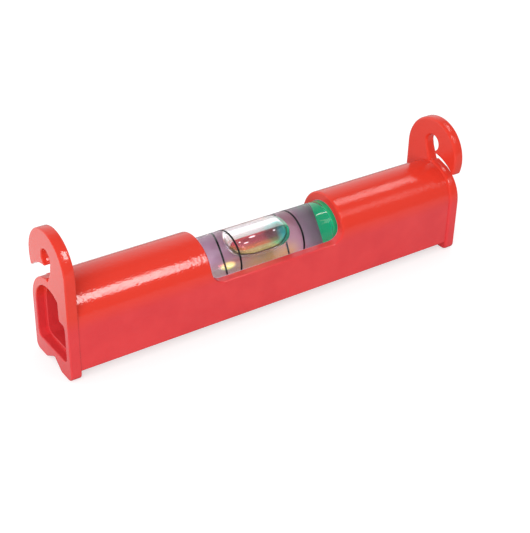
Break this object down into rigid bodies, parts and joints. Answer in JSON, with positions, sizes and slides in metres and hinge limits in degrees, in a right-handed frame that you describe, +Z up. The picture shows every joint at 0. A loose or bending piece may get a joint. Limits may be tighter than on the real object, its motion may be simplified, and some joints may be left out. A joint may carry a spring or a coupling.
{
  "type": "line level",
  "caption": "Small level that hooks onto a taut string, with a half-round housing, end ears with slotted eyes, V-grooved feet and a clear tube vial in a top window.",
  "frame": {"origin": "under the middle of the level, on the surface that its feet stand on", "axes": "+X along the level from the near hook to the far one, +Y from the front to the back, +Z up"},
  "size_m": [0.08, 0.0132, 0.0246],
  "materials": {
    "red_moulding": "satin moulded plastic with a very fine texture",
    "clear_acrylic": "clear polished",
    "green_plug": "smooth moulded plastic",
    "spirit": "clear liquid with a faint yellow-green tint",
    "black_ink": "printed ink",
    "air": "clear"
  },
  "bodies": {
    "level": {"housing": "red_moulding", "vial_barrel": "clear_acrylic", "vial_plug": "green_plug", "vial_fluid": "spirit", "ring_near": "black_ink", "ring_far": "black_ink"},
    "bubble": {"bubble": "air"}
  },
  "joints": [
    {"name": "bubble_slide", "type": "slide", "parent": "level", "child": "bubble", "axis": [1, 0, 0], "range_m": [-0.0058, 0.0074], "deforming": ["vial_fluid"]}
  ]
}
